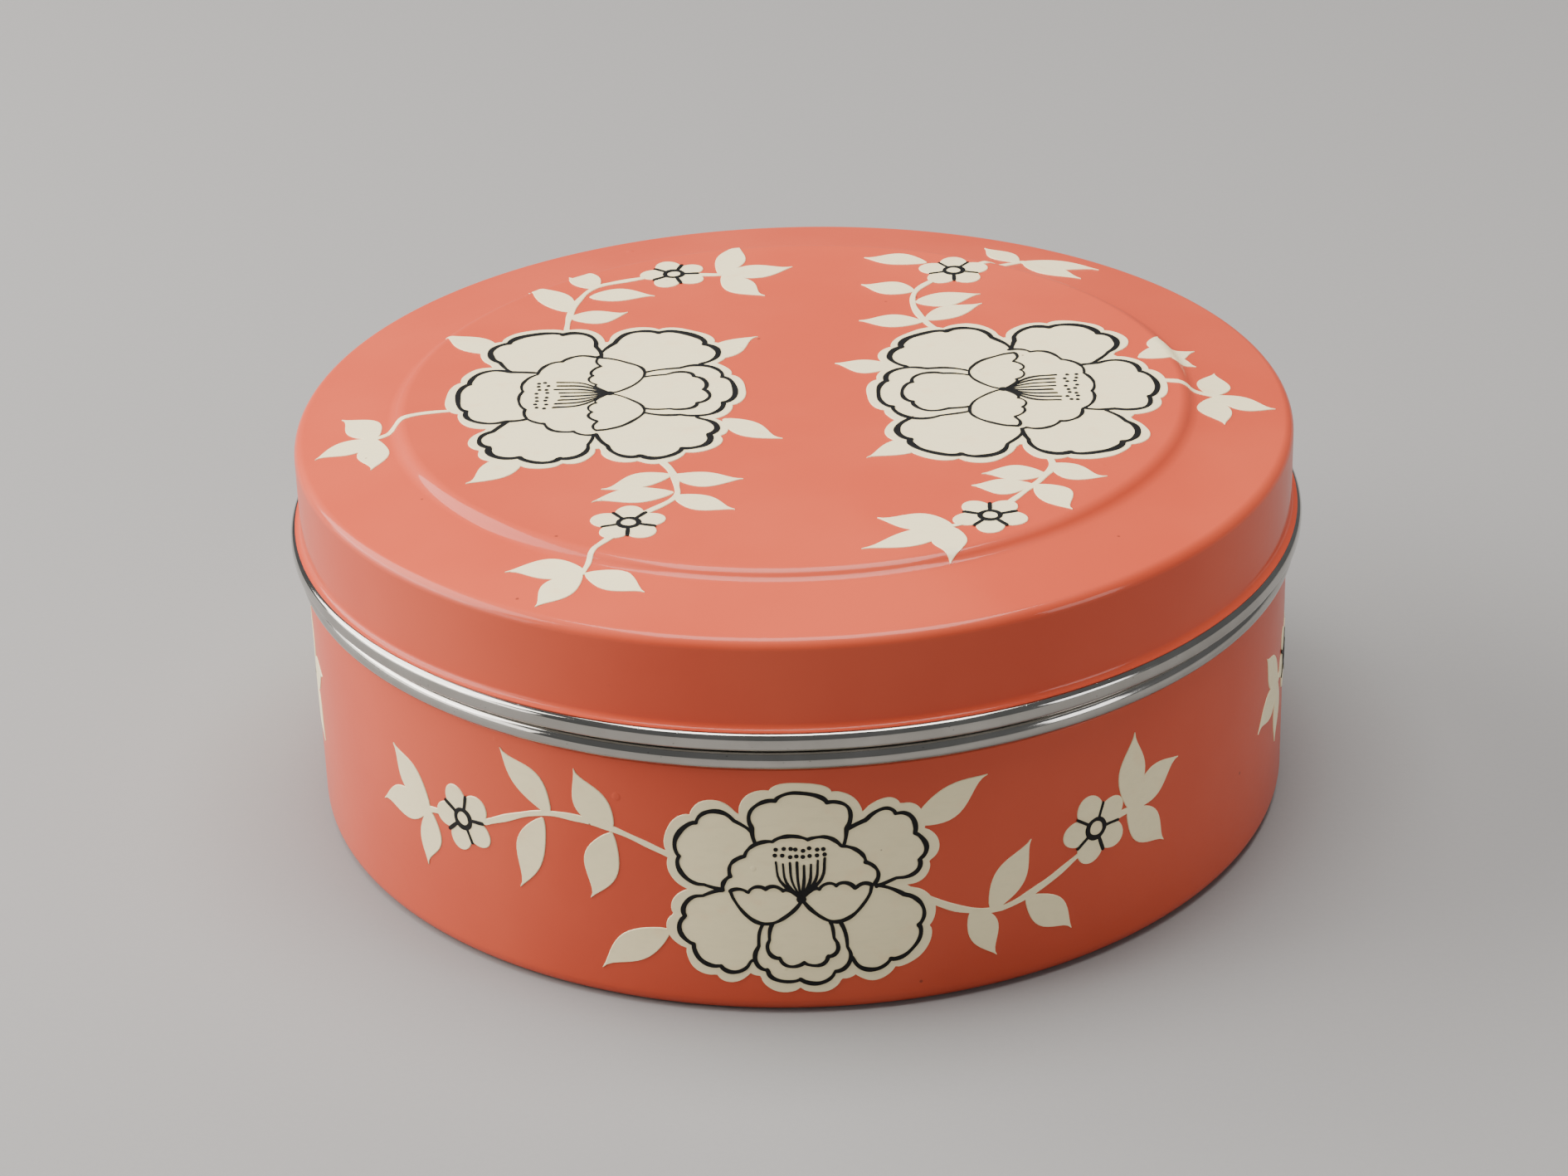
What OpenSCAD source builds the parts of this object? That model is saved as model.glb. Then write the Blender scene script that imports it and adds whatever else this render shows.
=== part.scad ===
// Round hand-painted steel box with a lift-off lid.
// The origin is the middle of the base on the table. +Z is up, and -Y is the front.

/* [Lid] */
// Radius of the painted skirt of the lid
lid_r = 90; // [80:1:130]
// Height of the raised middle of the lid above the table
lid_top = 74.9; // [69:0.1:110]
// Radius of the flat raised middle
plateau_r = 69.5; // [40:0.1:73]
// Radius of each of the two bends of the step from the raised middle to the margin
step_bend = 2.75; // [1.5:0.05:3]
// Slope of the step at its steepest, in degrees
step_angle = 47; // [30:1:55]
// Slope at which the margin falls outward to the shoulder, in degrees
margin_slope = 6.5; // [0:0.5:8]
// Radius of the rounded shoulder
shoulder_r = 2; // [1:0.1:3]
// Height of the underside of the rolled rim above the table
rim_z = 51.75; // [51.75:0.05:54]
// Height of the rolled rim
rim_h = 3.35; // [3:0.05:4]
// How far the rolled rim stands out past the painted skirt
rim_out = 1.9; // [1.8:0.1:2.4]

/* [Body] */
// Radius of the painted wall
wall_r = 89.4; // [59:0.1:129.4]
// Radius of the bottom corner
corner_r = 3; // [1.5:0.1:5]
// Height of the middle of the bead that the lid sits on
bead_z = 49.4; // [20:0.1:49.4]
// How far the bead stands out from the bare wall
bead_out = 1.65; // [1:0.05:1.8]
// Half of the bead's height
bead_half = 2; // [1.5:0.1:2]
// Radius of the neck inside the lid
neck_r = 89; // [58.6:0.1:129]
// Height of the mouth above the table
mouth_z = 64; // [56:0.5:68]

/* [Sheet and paint] */
// Thickness of the steel sheet
sheet = 0.5; // [0.4:0.05:0.6]
// Thickness of the coloured enamel
enamel = 0.15; // [0.1:0.05:0.2]
// Thickness of the cream paint
cream = 0.15; // [0.1:0.05:0.2]
// Thickness of the black brush lines
ink = 0.1; // [0.05:0.05:0.15]

/* [Decoration] */
// Number of flower sprays round the wall
sprays = 3; // [1:1:3]
// Half width of a large flower on the wall
wall_flower = 20; // [15:0.5:20]
// Half width of a large flower on the lid
lid_flower = 29; // [18:0.5:29]
// Half width of a small flower
blossom = 6.8; // [5:0.2:8]
// Length of a leaf on a stem
leaf_l = 12; // [8:0.5:13]
// Width of a painted stem
stem_w = 1.2; // [0.8:0.1:2]
// Width of a black brush line
line_w = 0.6; // [0.4:0.1:1]

/* [Hidden] */
$fn = 96;
coral = [0.90, 0.47, 0.37];
ivory = [0.90, 0.87, 0.78];
// Each bend is drawn with this many short facets.
bend_steps = 8;

// The margin is a cone between the foot of the step and the start of the shoulder.
foot_c = [plateau_r, lid_top - step_bend] + 2 * step_bend * [sin(step_angle), cos(step_angle)];
foot = foot_c - step_bend * [sin(margin_slope), cos(margin_slope)];
shoulder = [lid_r - shoulder_r * (1 - sin(margin_slope)),
            foot[1] - (lid_r - shoulder_r * (1 - sin(margin_slope)) - foot[0]) * tan(margin_slope)];
shoulder_c = shoulder - shoulder_r * [sin(margin_slope), cos(margin_slope)];
// The rim is a curled edge, taller than it is wide.
curl_r = 1.2;
rim_r = lid_r + rim_out;
rim_top = rim_z + rim_h;
flare_r = 1.1;
bead_r = (pow(bead_half, 2) + pow(bead_out, 2)) / (2 * bead_out);
bare_r = wall_r - enamel;
bead_c = bare_r + bead_out - bead_r;
paint_top = bead_z - bead_half - 0.1;

function arc(centre, radius, from, to) =
    [for (k = [0:bend_steps])
        let (a = from + (to - from) * k / bend_steps)
        centre + radius * [cos(a), sin(a)]];
function flipped(points) = [for (k = [len(points) - 1:-1:0]) points[k]];

// ---- Sheet outlines: d is the depth below the painted surface ----

// The top of the lid, from the middle out to the top of the skirt
function lid_line(d) = concat(
    [[0, lid_top - d]],
    arc([plateau_r, lid_top - step_bend], step_bend - d, 90, 90 - step_angle),
    arc(foot_c, step_bend + d, 270 - step_angle, 270 - margin_slope),
    arc(shoulder_c, shoulder_r - d, 90 - margin_slope, 0));

// The curl at the foot of the skirt, from the skirt round to its closed end
function curl_line(d) = concat(
    arc([lid_r - enamel - sheet + curl_r, rim_z + curl_r], curl_r - d, 180, 270),
    arc([rim_r - curl_r, rim_z + curl_r], curl_r - d, 270, 360),
    arc([rim_r - curl_r, rim_top - curl_r], curl_r - d, 0, 90),
    [[lid_r, rim_top - d]]);

// The cup from the middle of the base up to the bead
function cup_low(d) = concat(
    [[0, d]],
    arc([wall_r - corner_r, corner_r - enamel], corner_r - enamel - d, 270, 360));

// The bead and the start of the neck
function cup_bead(d) =
    let (low = acos((bare_r - d - bead_c) / (bead_r - d)))
    let (high = acos((neck_r - d - bead_c) / (bead_r - d)))
    arc([bead_c, bead_z], bead_r - d, -low, high);

module body_cup() {
    color("silver")
    rotate_extrude()
    polygon(concat(
        cup_low(0),
        cup_bead(0),
        arc([neck_r - sheet / 2, mouth_z - sheet / 2], sheet / 2, 0, 180),
        flipped(cup_bead(sheet)),
        flipped(cup_low(sheet))));
}

module body_enamel() {
    centre = [wall_r - corner_r, corner_r - enamel];
    color(coral)
    rotate_extrude()
    polygon(concat(
        arc(centre, corner_r, -70, 0),
        [[wall_r, paint_top], [bare_r, paint_top]],
        arc(centre, corner_r - enamel, 0, -70)));
}

module lid_pan() {
    color("silver")
    rotate_extrude()
    polygon(concat(
        lid_line(enamel),
        curl_line(sheet),
        flipped(curl_line(0)),
        flipped(lid_line(enamel + sheet))));
}

module lid_enamel() {
    color(coral)
    rotate_extrude()
    polygon(concat(
        lid_line(0),
        arc([lid_r + flare_r, rim_top + enamel + flare_r], flare_r, 180, 270),
        [[lid_r + flare_r, rim_top], [lid_r - enamel, rim_top]],
        flipped(lid_line(enamel))));
}

// ---- Brush shapes, flat in X and Y ----

// A pointed leaf along +X from its stem end at the origin
module leaf(length) {
    width = length * 0.4;
    bow = (pow(length, 2) + pow(width, 2)) / (4 * width);
    intersection() {
        translate([length / 2, bow - width / 2]) circle(bow);
        translate([length / 2, width / 2 - bow]) circle(bow);
    }
}

// Round petals about a round middle
module petals(count, half, middle) {
    circle(half * middle);
    for (k = [0:count - 1])
        rotate(360 * k / count)
        translate([0, half * 0.58])
        circle(half * 0.42);
}

module ring_line(radius) {
    difference() {
        circle(radius);
        circle(radius - line_w);
    }
}

module stroke(from, length) {
    translate([-line_w / 2, from]) square([line_w, length]);
}

// The black lines of a large flower: petal edges, a cup and fanned stamens
module flower_lines(half) {
    for (k = [0:5])
        rotate(60 * k)
        intersection() {
            translate([0, half * 0.58]) ring_line(half * 0.34);
            translate([-half * 0.26, half * 0.52]) square([half * 0.52, half]);
        }
    ring_line(half * 0.44);
    for (k = [-3:3])
        rotate(-14 * k)
        stroke(0, half * 0.34);
}

module blossom_lines() {
    ring_line(blossom * 0.28);
    for (k = [0:4])
        rotate(72 * k + 36)
        stroke(blossom * 0.25, blossom * 0.42);
}

// ---- Stems: each is [start, end, bow], bent sideways by its bow ----

function along(stem, t) =
    let (run = stem[1] - stem[0])
    stem[0] + t * run + 4 * stem[2] * t * (1 - t) * [-run[1], run[0]] / norm(run);
function heading(stem, t) =
    let (step = along(stem, t + 0.05) - along(stem, t - 0.05))
    atan2(step[1], step[0]);

// Each leaf is [place, direction, length]: two pairs on the stem, and three past its blossom.
function stem_leaves(stem) = [
    for (t = [0.25, 0.6], side = [-1, 1])
        [along(stem, t), heading(stem, t) + side * 65, leaf_l]];
function end_leaves(stem) =
    let (way = heading(stem, 1))
    let (place = stem[1] + blossom * [cos(way), sin(way)])
    [for (turn = [-60, 0, 60]) [place, way + turn, leaf_l * 0.9]];
// One edge of a painted stem, on the side given as 1 or -1
function stem_edge(stem, side) = [
    for (k = [0:bend_steps])
        let (t = k / bend_steps)
        let (way = heading(stem, t))
        along(stem, t) + side * stem_w / 2 * [-sin(way), cos(way)]];

module stem_strip(stem) {
    polygon(concat(stem_edge(stem, 1), flipped(stem_edge(stem, -1))));
}

// ---- Places: on the wall, X runs round it to the right and Y is the height ----

spray_turn = -1.8;
flower_z = 24.3;
wall_stems = [
    [[-20, 30], [-59, 27], -5],
    [[20, 20], [54, 26], -5]];
lone_leaves = [
    [[20, 34], 32, leaf_l],
    [[-18, 14.5], 218, leaf_l * 0.9]];

lid_left = [-35.5, 2];
lid_right = [40.5, -1.5];
lid_blossom_stems = [
    [[-41, 28], [-22, 57.5], 5],
    [[-23, -23], [-28.5, -51.5], 4],
    [[28, 23], [32.5, 55.5], 6],
    [[43.5, -25], [32.5, -51.5], 4]];
// These end in leaves alone, out on the margin.
lid_plain_stems = [
    [[-61, -2], [-74, -10.5], 3],
    [[67, 1], [76, -4], -2]];
lid_lone_leaves = [
    [[-54, 19], 140, leaf_l],
    [[-16.5, 16], 40, leaf_l],
    [[-16.5, -12], -25, leaf_l],
    [[-48.5, -21], 230, leaf_l],
    [[22.5, 12], 170, leaf_l],
    [[24.5, -18], 215, leaf_l],
    [[57, 18], 35, leaf_l * 0.7]];

module on_wall(place, direction) {
    rotate(place[0] / wall_r * 180 / PI)
    translate([0, -wall_r * 0.8, place[1]])
    rotate([90, -direction, 0])
    linear_extrude(wall_r * 0.3)
    children();
}

// A thin sleeve of paint round the wall
module wall_film(from, thickness) {
    translate([0, 0, corner_r])
    difference() {
        cylinder(h = paint_top - corner_r, r = from + thickness);
        translate([0, 0, -1]) cylinder(h = paint_top, r = from);
    }
}

module round_wall() {
    for (k = [0:sprays - 1])
        rotate(spray_turn + 360 / sprays * k)
        children();
}

module body_flowers() {
    color(ivory)
    intersection() {
        wall_film(wall_r, cream);
        round_wall() {
            on_wall([0, flower_z], 0) petals(6, wall_flower, 0.6);
            for (stem = wall_stems) {
                on_wall(stem[1], 0) petals(5, blossom, 0.4);
                on_wall([along(stem, 0.5)[0], 0], 0)
                    translate([-along(stem, 0.5)[0], 0])
                    stem_strip(stem);
                for (one = stem_leaves(stem)) on_wall(one[0], one[1]) leaf(one[2]);
                for (one = end_leaves(stem)) on_wall(one[0], one[1]) leaf(one[2]);
            }
            for (one = lone_leaves) on_wall(one[0], one[1]) leaf(one[2]);
        }
    }
}

module body_linework() {
    color("black")
    intersection() {
        wall_film(wall_r + cream, ink);
        round_wall() {
            on_wall([0, flower_z], 0) flower_lines(wall_flower);
            for (stem = wall_stems) on_wall(stem[1], 0) blossom_lines();
        }
    }
}

module lid_shapes() {
    for (place = [lid_left, lid_right]) translate(place) rotate(90) petals(6, lid_flower, 0.6);
    for (stem = lid_blossom_stems) translate(stem[1]) petals(5, blossom, 0.4);
    for (stem = concat(lid_blossom_stems, lid_plain_stems)) stem_strip(stem);
    for (stem = lid_blossom_stems) {
        for (one = stem_leaves(stem)) translate(one[0]) rotate(one[1]) leaf(one[2]);
        for (one = end_leaves(stem)) translate(one[0]) rotate(one[1]) leaf(one[2]);
    }
    for (stem = lid_plain_stems, turn = [-60, 0, 60])
        translate(stem[1]) rotate(heading(stem, 1) + turn) leaf(leaf_l * 0.8);
    for (one = lid_lone_leaves) translate(one[0]) rotate(one[1]) leaf(one[2]);
}

// A thin cone of paint on the margin
module margin_film(thickness) {
    out = thickness * [sin(margin_slope), cos(margin_slope)];
    rotate_extrude()
    polygon([foot, shoulder, shoulder + out, foot + out]);
}

// The paint lies on the raised middle and on the margin. It is left off the step between them.
module lid_flowers() {
    color(ivory) {
        translate([0, 0, lid_top])
        linear_extrude(cream)
        intersection() {
            lid_shapes();
            circle(plateau_r);
        }
        intersection() {
            margin_film(cream);
            translate([0, 0, shoulder[1] - 1])
            linear_extrude(lid_top - shoulder[1])
            lid_shapes();
        }
    }
}

module lid_linework() {
    color("black")
    translate([0, 0, lid_top + cream])
    linear_extrude(ink) {
        translate(lid_left) rotate(90) flower_lines(lid_flower);
        translate(lid_right) rotate(-90) flower_lines(lid_flower);
        for (stem = lid_blossom_stems) translate(stem[1]) blossom_lines();
    }
}

body_cup();
body_enamel();
body_flowers();
body_linework();
lid_pan();
lid_enamel();
lid_flowers();
lid_linework();
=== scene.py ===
"""A round enamelled steel box with a lift-off lid and hand-painted flowers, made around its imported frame.

Lengths are in metres. Brush shapes are first drawn flat, in millimetres, then laid on the box.
"""

import math
import random
from functools import partial

import bpy
from bpy.props import FloatProperty, FloatVectorProperty, IntProperty, PointerProperty
from mathutils import Matrix, Vector
from mathutils.geometry import delaunay_2d_cdt
from mathutils.kdtree import KDTree


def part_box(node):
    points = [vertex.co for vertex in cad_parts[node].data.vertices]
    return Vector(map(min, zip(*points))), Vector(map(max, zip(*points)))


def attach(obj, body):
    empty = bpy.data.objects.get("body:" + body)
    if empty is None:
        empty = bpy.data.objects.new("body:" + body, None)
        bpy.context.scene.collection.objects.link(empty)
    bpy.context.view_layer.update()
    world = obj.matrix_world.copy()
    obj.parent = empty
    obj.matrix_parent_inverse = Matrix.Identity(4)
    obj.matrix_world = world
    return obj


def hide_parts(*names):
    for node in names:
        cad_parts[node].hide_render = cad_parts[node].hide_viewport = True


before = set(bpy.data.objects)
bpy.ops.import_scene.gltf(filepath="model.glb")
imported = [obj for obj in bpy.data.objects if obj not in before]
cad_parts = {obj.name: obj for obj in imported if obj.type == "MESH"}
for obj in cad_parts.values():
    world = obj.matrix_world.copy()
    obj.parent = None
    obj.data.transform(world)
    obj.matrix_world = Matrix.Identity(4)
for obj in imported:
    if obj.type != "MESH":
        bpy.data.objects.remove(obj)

bl_info = {
    "name": "Painted Steel Box",
    "version": (1, 0, 0),
    "blender": (4, 5, 0),
    "location": "3D View > Sidebar > Painted Box",
    "description": "Makes a round enamelled steel box with a lift-off lid and painted flowers",
    "category": "Object",
}

MM = 0.001
TAU = 2 * math.pi
# Edges that bend more than this are shown sharp
SHEET_CREASE = math.radians(35)
FILM_CREASE = math.radians(18)

# ---- Sizes that the frame gives ----

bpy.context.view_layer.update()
WALL_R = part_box("body_enamel")[1].x
PAINT_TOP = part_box("body_enamel")[1].z
MOUTH_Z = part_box("body_cup")[1].z
RIM_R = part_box("lid_pan")[1].x
RIM_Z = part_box("lid_pan")[0].z
LID_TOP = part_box("lid_enamel")[1].z
CREAM_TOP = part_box("lid_flowers")[1].z
CREAM = CREAM_TOP - LID_TOP
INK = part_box("lid_linework")[1].z - CREAM_TOP


def length(name, description, default):
    """A property that holds a length."""
    return FloatProperty(name=name, description=description, default=default, unit="LENGTH")


def angle(name, description, degrees):
    """A property that holds an angle, its default given in degrees."""
    return FloatProperty(name=name, description=description, default=math.radians(degrees), unit="ROTATION")


def colour(name, description, *default):
    """A property that holds an opaque colour."""
    return FloatVectorProperty(name=name, description=description, default=(*default, 1),
                               size=4, subtype="COLOR")


class SheetSettings(bpy.types.PropertyGroup):
    """Sizes of the pressed sheet and its coloured enamel"""
    sheet: length("Sheet", "Thickness of the steel sheet", 0.0005)
    enamel: length("Enamel", "Thickness of the coloured enamel", 0.00015)
    corner_r: length("Corner", "Radius of the bottom corner", 0.003)
    bead_z: length("Bead height", "Height of the middle of the bead", 0.0494)
    bead_out: length("Bead", "How far the bead stands out from the bare wall", 0.00165)
    bead_half: length("Half bead", "Half of the bead's height", 0.002)
    neck_r: length("Neck", "Radius of the neck inside the lid", 0.089)
    lid_r: length("Skirt", "Radius of the painted skirt of the lid", 0.09)
    plateau_r: length("Raised middle", "Radius of the raised middle of the lid", 0.0695)
    step_bend: length("Step bend", "Radius of the two bends of the lid's step", 0.00275)
    step_angle: angle("Step angle", "Slope where the two bends of the step meet", 47)
    margin_slope: angle("Margin slope", "Fall of the margin towards the shoulder", 6.5)
    shoulder_r: length("Shoulder", "Radius of the rounded shoulder", 0.002)
    rim_h: length("Rim", "Height of the rolled rim", 0.00335)
    curl_r: length("Curl", "Radius of the rim's curl", 0.0012)
    flare_r: length("Flare", "Radius of the enamel where it runs onto the rim", 0.0011)
    segments: IntProperty(name="Segments", description="Facets in one turn of the sheet", default=288)


class PaintSettings(bpy.types.PropertyGroup):
    """Sizes and colours of the brushwork"""
    leaf_w: length("Leaf", "Width of a painted leaf", 0.0058)
    stem_w: length("Stem", "Width of a painted stem", 0.0012)
    line_w: length("Line", "Width of a black brush line", 0.0009)
    blossom_r: length("Blossom", "Radius of a small flower", 0.0068)
    wall_flower: length("Wall flower", "Half width of a large flower on the wall", 0.0203)
    lid_flower: length("Lid flower", "Half width of a large flower on the lid", 0.0276)
    ground: length("Ground", "How far the cream ground shows round the lines", 0.002)
    edge_r: length("Edge", "Width of the rounded edge of a brush mark", 0.00012)
    sprays: IntProperty(name="Sprays", description="Flower sprays round the wall", default=3)
    spray_turn: angle("Spray turn", "Turn of the first spray from the front", -1.8)
    coral: colour("Coral", "Colour of the enamel", 0.60, 0.084, 0.037)
    cream: colour("Cream", "Colour of the flower paint", 0.93, 0.82, 0.50)
    black: colour("Black", "Colour of the brush lines", 0.006, 0.006, 0.006)
    steel: colour("Steel", "Colour of the bare steel", 0.46, 0.445, 0.415)


class StageSettings(bpy.types.PropertyGroup):
    """Where the camera and the lights stand"""
    camera_place: FloatVectorProperty(name="Camera", description="Place of the camera",
                                      subtype="XYZ_LENGTH", default=(-0.0026, -0.6525, 0.3675))
    camera_tilt: angle("Tilt", "How far the camera looks down", 26.985)
    camera_roll: angle("Roll", "Turn of the camera about its own line of sight", -1.789)
    lens: FloatProperty(name="Lens", description="Focal length of the lens in millimetres",
                        default=90.83, unit="CAMERA")
    floor: colour("Floor", "Colour of the floor", 0.27, 0.265, 0.26)
    sky: FloatProperty(name="Sky", description="Strength of the even light all round", default=0.2)


# ---- Sheet outlines: pairs of radius and height, d being the depth below the painted surface ----

def arc(centre, radius, start, end, steps=12):
    """Points along an arc, its angles in degrees."""
    angles = [math.radians(start + (end - start) * k / steps) for k in range(steps + 1)]
    return [(centre[0] + radius * math.cos(a), centre[1] + radius * math.sin(a)) for a in angles]


def lid_bends(size):
    """Centres of the upper and lower bend of the lid's step, and of the shoulder."""
    bend, shoulder_r, fall = size.step_bend, size.shoulder_r, size.margin_slope
    upper = (size.plateau_r, LID_TOP - bend)
    lower = (upper[0] + 2 * bend * math.sin(size.step_angle), upper[1] + 2 * bend * math.cos(size.step_angle))
    foot = (lower[0] - bend * math.sin(fall), lower[1] - bend * math.cos(fall))
    edge_r = size.lid_r - shoulder_r * (1 - math.sin(fall))
    edge_z = foot[1] - (edge_r - foot[0]) * math.tan(fall)
    return upper, lower, (size.lid_r - shoulder_r, edge_z - shoulder_r * math.cos(fall))


def lid_line(size, d):
    """The top of the lid, from the middle out to the top of the skirt."""
    upper, lower, shoulder = lid_bends(size)
    steep, fall = math.degrees(size.step_angle), math.degrees(size.margin_slope)
    return [(0, LID_TOP - d),
            *arc(upper, size.step_bend - d, 90, 90 - steep),
            *arc(lower, size.step_bend + d, 270 - steep, 270 - fall),
            *arc(shoulder, size.shoulder_r - d, 90 - fall, 0)]


def curl_line(size, d):
    """The curl at the foot of the skirt, from the skirt round to its closed end."""
    inner = size.lid_r - size.enamel - size.sheet + size.curl_r
    outer, rim_top = RIM_R - size.curl_r, RIM_Z + size.rim_h
    return [*arc((inner, RIM_Z + size.curl_r), size.curl_r - d, 180, 270),
            *arc((outer, RIM_Z + size.curl_r), size.curl_r - d, 270, 360),
            *arc((outer, rim_top - size.curl_r), size.curl_r - d, 0, 90),
            (size.lid_r, rim_top - d)]


def cup_line(size, d):
    """The cup from the middle of the base, round its corner and bead, to the start of the neck."""
    bare_r = WALL_R - size.enamel
    bead_r = (size.bead_half ** 2 + size.bead_out ** 2) / (2 * size.bead_out)
    bead_c = bare_r + size.bead_out - bead_r
    low = math.degrees(math.acos((bare_r - d - bead_c) / (bead_r - d)))
    high = math.degrees(math.acos((size.neck_r - d - bead_c) / (bead_r - d)))
    corner = size.corner_r - size.enamel
    return [(0, d),
            *arc((WALL_R - size.corner_r, corner), corner - d, 270, 360),
            *arc((bead_c, size.bead_z), bead_r - d, -low, high, 20)]


def cup_outline(size):
    """The whole cup: outside, rounded mouth and inside."""
    half = size.sheet / 2
    mouth = arc((size.neck_r - half, MOUTH_Z - half), half, 0, 180)
    return cup_line(size, 0) + mouth + cup_line(size, size.sheet)[::-1]


def pan_outline(size):
    """The whole steel lid: top, skirt and curl, then back inside."""
    outside = lid_line(size, size.enamel) + curl_line(size, size.sheet)
    return outside + curl_line(size, 0)[::-1] + lid_line(size, size.enamel + size.sheet)[::-1]


def wall_coat_outline(size):
    """The enamel on the wall, closed into a ring, with a rounded upper edge."""
    centre = (WALL_R - size.corner_r, size.corner_r - size.enamel)
    bare_r = WALL_R - size.enamel
    ring = arc(centre, size.corner_r, -70, 0)
    ring += arc((bare_r, PAINT_TOP - size.enamel), size.enamel, 0, 90, 4)
    ring += arc(centre, size.corner_r - size.enamel, 0, -70)
    return ring + ring[:1]


def lid_coat_outline(size):
    """The enamel over the lid and down its skirt, running out on the top of the rim."""
    rim_top = RIM_Z + size.rim_h
    flare = (size.lid_r + size.flare_r, rim_top + size.enamel + size.flare_r)
    foot = [(size.lid_r + size.flare_r, rim_top), (size.lid_r - size.enamel, rim_top)]
    return lid_line(size, 0) + arc(flare, size.flare_r, 180, 270) + foot + lid_line(size, size.enamel)[::-1]


# ---- Node trees ----

def add_node(tree, kind, inputs=None, **settings):
    """Adds a node to the right of the last one. inputs holds a value or an output for each socket."""
    made = tree.nodes.new(kind)
    made.location = (180 * len(tree.nodes), 0)
    for name, value in settings.items():
        setattr(made, name, value)
    fill(tree, made, inputs or {})
    return made


def fill(tree, node, inputs):
    """Links each output to its socket of the node, and sets each plain value on its socket."""
    for key, value in inputs.items():
        if isinstance(value, bpy.types.NodeSocket):
            tree.links.new(value, node.inputs[key])
        else:
            node.inputs[key].default_value = value


def calculate(tree, operation, *values):
    """A Math node's result."""
    return add_node(tree, "ShaderNodeMath", dict(enumerate(values)), operation=operation).outputs[0]


def sums(tree, *operations):
    """A short function for each operation of a Math node."""
    return [partial(calculate, tree, operation) for operation in operations]


def vectors(tree, operation, *values):
    """A Vector Math node's result."""
    return add_node(tree, "ShaderNodeVectorMath", dict(enumerate(values)), operation=operation).outputs[0]


def joined_parts(tree, x=0.0, y=0.0, z=0.0):
    """A vector made of its three parts."""
    return add_node(tree, "ShaderNodeCombineXYZ", {"X": x, "Y": y, "Z": z}).outputs[0]


def reach_of(tree, place):
    """Distance from the upright axis."""
    level = vectors(tree, "MULTIPLY", place, (1, 1, 0))
    return level, add_node(tree, "ShaderNodeVectorMath", {0: level}, operation="LENGTH").outputs["Value"]


def count(tree, operation, *values):
    """An Integer Math node's result."""
    return add_node(tree, "FunctionNodeIntegerMath", dict(enumerate(values)), operation=operation).outputs[0]


def new_tree(name, sockets):
    """A geometry tree with the named inputs, and its input sockets by name."""
    tree = bpy.data.node_groups.new(name, "GeometryNodeTree")
    for label, kind in sockets.items():
        tree.interface.new_socket(label, in_out="INPUT", socket_type="NodeSocket" + kind)
    tree.interface.new_socket("Shape", in_out="OUTPUT", socket_type="NodeSocketGeometry")
    return tree, add_node(tree, "NodeGroupInput").outputs


def end_tree(tree, shape, given):
    """Smooth faces, edges creased past the given angle, real geometry and the finish."""
    bend = add_node(tree, "GeometryNodeInputMeshEdgeAngle").outputs["Unsigned Angle"]
    sharp = add_node(tree, "FunctionNodeCompare", {"A": bend, "B": given["Crease"]},
                     data_type="FLOAT", operation="GREATER_THAN").outputs["Result"]
    smooth = add_node(tree, "GeometryNodeSetShadeSmooth", {"Geometry": shape}, domain="FACE")
    crease = add_node(tree, "GeometryNodeStoreNamedAttribute",
                      {"Geometry": smooth.outputs[0], "Name": "sharp_edge"},
                      data_type="BOOLEAN", domain="EDGE")
    tree.links.new(sharp, crease.inputs["Value"])
    real = add_node(tree, "GeometryNodeRealizeInstances", {"Geometry": crease.outputs[0]})
    finish = add_node(tree, "GeometryNodeSetMaterial",
                      {"Geometry": real.outputs[0], "Material": given["Finish"]})
    add_node(tree, "NodeGroupOutput", {"Shape": finish.outputs[0]})
    return tree


def turned_tree():
    """Turns an outline in X and Z once round the upright axis, and closes the seam and the poles."""
    tree, given = new_tree("Turned Sheet", {
        "Outline": "Geometry", "Segments": "Int", "Crease": "Float", "Finish": "Material"})
    points = add_node(tree, "GeometryNodeAttributeDomainSize",
                      {"Geometry": given["Outline"]}, component="MESH").outputs["Point Count"]
    stations = count(tree, "ADD", given["Segments"], 1)
    grid = add_node(tree, "GeometryNodeMeshGrid", {"Vertices X": points, "Vertices Y": stations})
    index = add_node(tree, "GeometryNodeInputIndex").outputs[0]
    step = calculate(tree, "DIVIDE", TAU, given["Segments"])
    turn = calculate(tree, "MULTIPLY", count(tree, "MODULO", index, stations), step)
    place = add_node(tree, "GeometryNodeInputPosition").outputs[0]
    on_outline = add_node(tree, "GeometryNodeSampleIndex", {"Geometry": given["Outline"]},
                          data_type="FLOAT_VECTOR")
    tree.links.new(place, on_outline.inputs["Value"])
    tree.links.new(count(tree, "DIVIDE_FLOOR", index, stations), on_outline.inputs["Index"])
    turned = add_node(tree, "ShaderNodeVectorRotate",
                      {"Vector": on_outline.outputs[0], "Angle": turn}, rotation_type="Z_AXIS")
    round_shape = add_node(tree, "GeometryNodeSetPosition",
                           {"Geometry": grid.outputs[0], "Position": turned.outputs[0]})
    closed = add_node(tree, "GeometryNodeMergeByDistance",
                      {"Geometry": round_shape.outputs[0], "Distance": 1e-6})
    return end_tree(tree, closed.outputs[0], given)


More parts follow.
